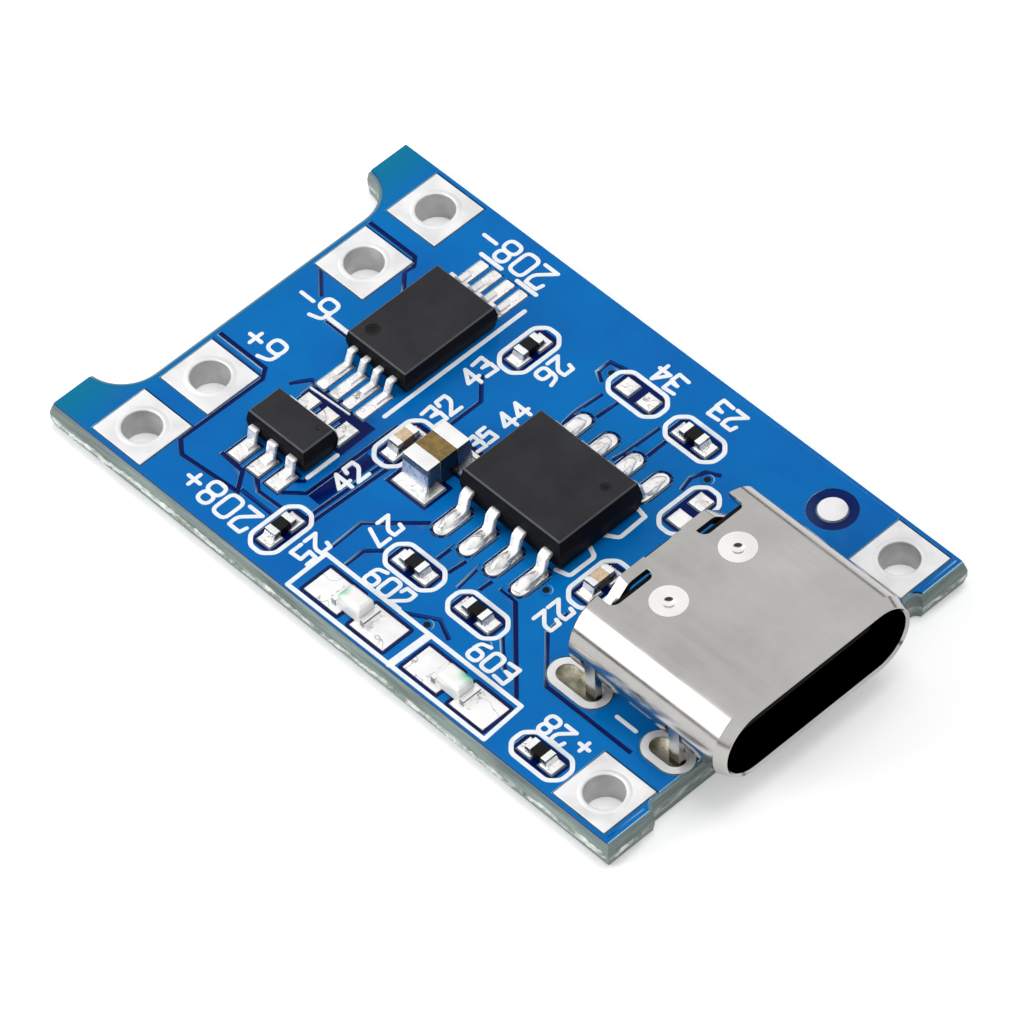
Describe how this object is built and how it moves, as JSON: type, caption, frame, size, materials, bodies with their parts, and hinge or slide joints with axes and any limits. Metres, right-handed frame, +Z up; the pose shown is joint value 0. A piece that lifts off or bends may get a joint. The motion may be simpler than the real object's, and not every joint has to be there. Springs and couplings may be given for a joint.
{
  "type": "lithium battery charger module",
  "caption": "Small blue charger board for one lithium cell: wire pads at both ends, black chips, chip parts, status lamps and an oval charging socket.",
  "frame": {"origin": "centre of the board's underside, on the plane the part rests on", "axes": "+X towards the charging socket, +Y across the board towards the edge with the minus output and input pads, +Z up through the board"},
  "size_m": [0.0289, 0.017, 0.0045],
  "materials": {
    "glass_fibre": "raw glass-fibre board edge, streaky where it was snapped",
    "blue_mask": "glossy blue solder mask",
    "tinned_copper": "matt tinned copper land",
    "lead_metal": "plated chip lead",
    "solder": "bright reflowed solder",
    "chip_moulding": "fine-grained black moulding compound",
    "resistor_glaze": "black glaze over ceramic",
    "dark_ceramic": "ochre-brown fired ceramic",
    "pale_ceramic": "beige fired ceramic",
    "cap_metal": "tinned end cap",
    "lamp_base": "white laminate",
    "milky_lens": "milky cast resin",
    "socket_steel": "satin drawn stainless steel",
    "socket_moulding": "black moulded nylon",
    "gold_contact": "thin gold plating"
  },
  "bodies": {
    "root": {"alignment_disc": "tinned_copper", "battery_capacitor_body": "dark_ceramic", "battery_capacitor_caps": "cap_metal", "battery_minus_pad": "tinned_copper", "battery_plus_pad": "tinned_copper", "charge_resistor_body": "resistor_glaze", "charge_resistor_caps": "cap_metal", "charger_chip_body": "chip_moulding", "charger_chip_lands": "tinned_copper", "charger_chip_leads": "lead_metal", "charging_lamp_base": "lamp_base", "charging_lamp_lens": "milky_lens", "charging_lamp_terminals": "cap_metal", "chip_part_lands": "tinned_copper", "circuit_board": "glass_fibre", "contact_tails": "lead_metal", "end_solder": "solder", "full_lamp_base": "lamp_base", "full_lamp_lens": "milky_lens", "full_lamp_terminals": "cap_metal", "gate_resistor_body": "resistor_glaze", "gate_resistor_caps": "cap_metal", "guard_chip_body": "chip_moulding", "guard_chip_lands": "tinned_copper", "guard_chip_leads": "lead_metal", "input_capacitor_body": "pale_ceramic", "input_capacitor_caps": "cap_metal", "input_minus_pad": "tinned_copper", "input_plus_pad": "tinned_copper", "input_resistor_body": "resistor_glaze", "input_resistor_caps": "cap_metal", "lamp_lands": "tinned_copper", "lamp_resistor_body": "resistor_glaze", "lamp_resistor_caps": "cap_metal", "leg_solder": "solder", "lower_contacts": "gold_contact", "out_minus_pad": "tinned_copper", "out_plus_pad": "tinned_copper", "program_resistor_body": "resistor_glaze", "program_resistor_caps": "cap_metal", "sense_resistor_body": "resistor_glaze", "sense_resistor_caps": "cap_metal", "socket_leg_eyelets": "tinned_copper", "socket_shell": "socket_steel", "socket_tail_lands": "tinned_copper", "socket_tongue": "socket_moulding", "solder_mask_bottom": "blue_mask", "solder_mask_top": "blue_mask", "supply_capacitor_body": "pale_ceramic", "supply_capacitor_caps": "cap_metal", "switch_chip_body": "chip_moulding", "switch_chip_lands": "tinned_copper", "switch_chip_leads": "lead_metal", "tongue_edge_plate": "socket_steel", "upper_contacts": "gold_contact"}
  },
  "joints": []
}
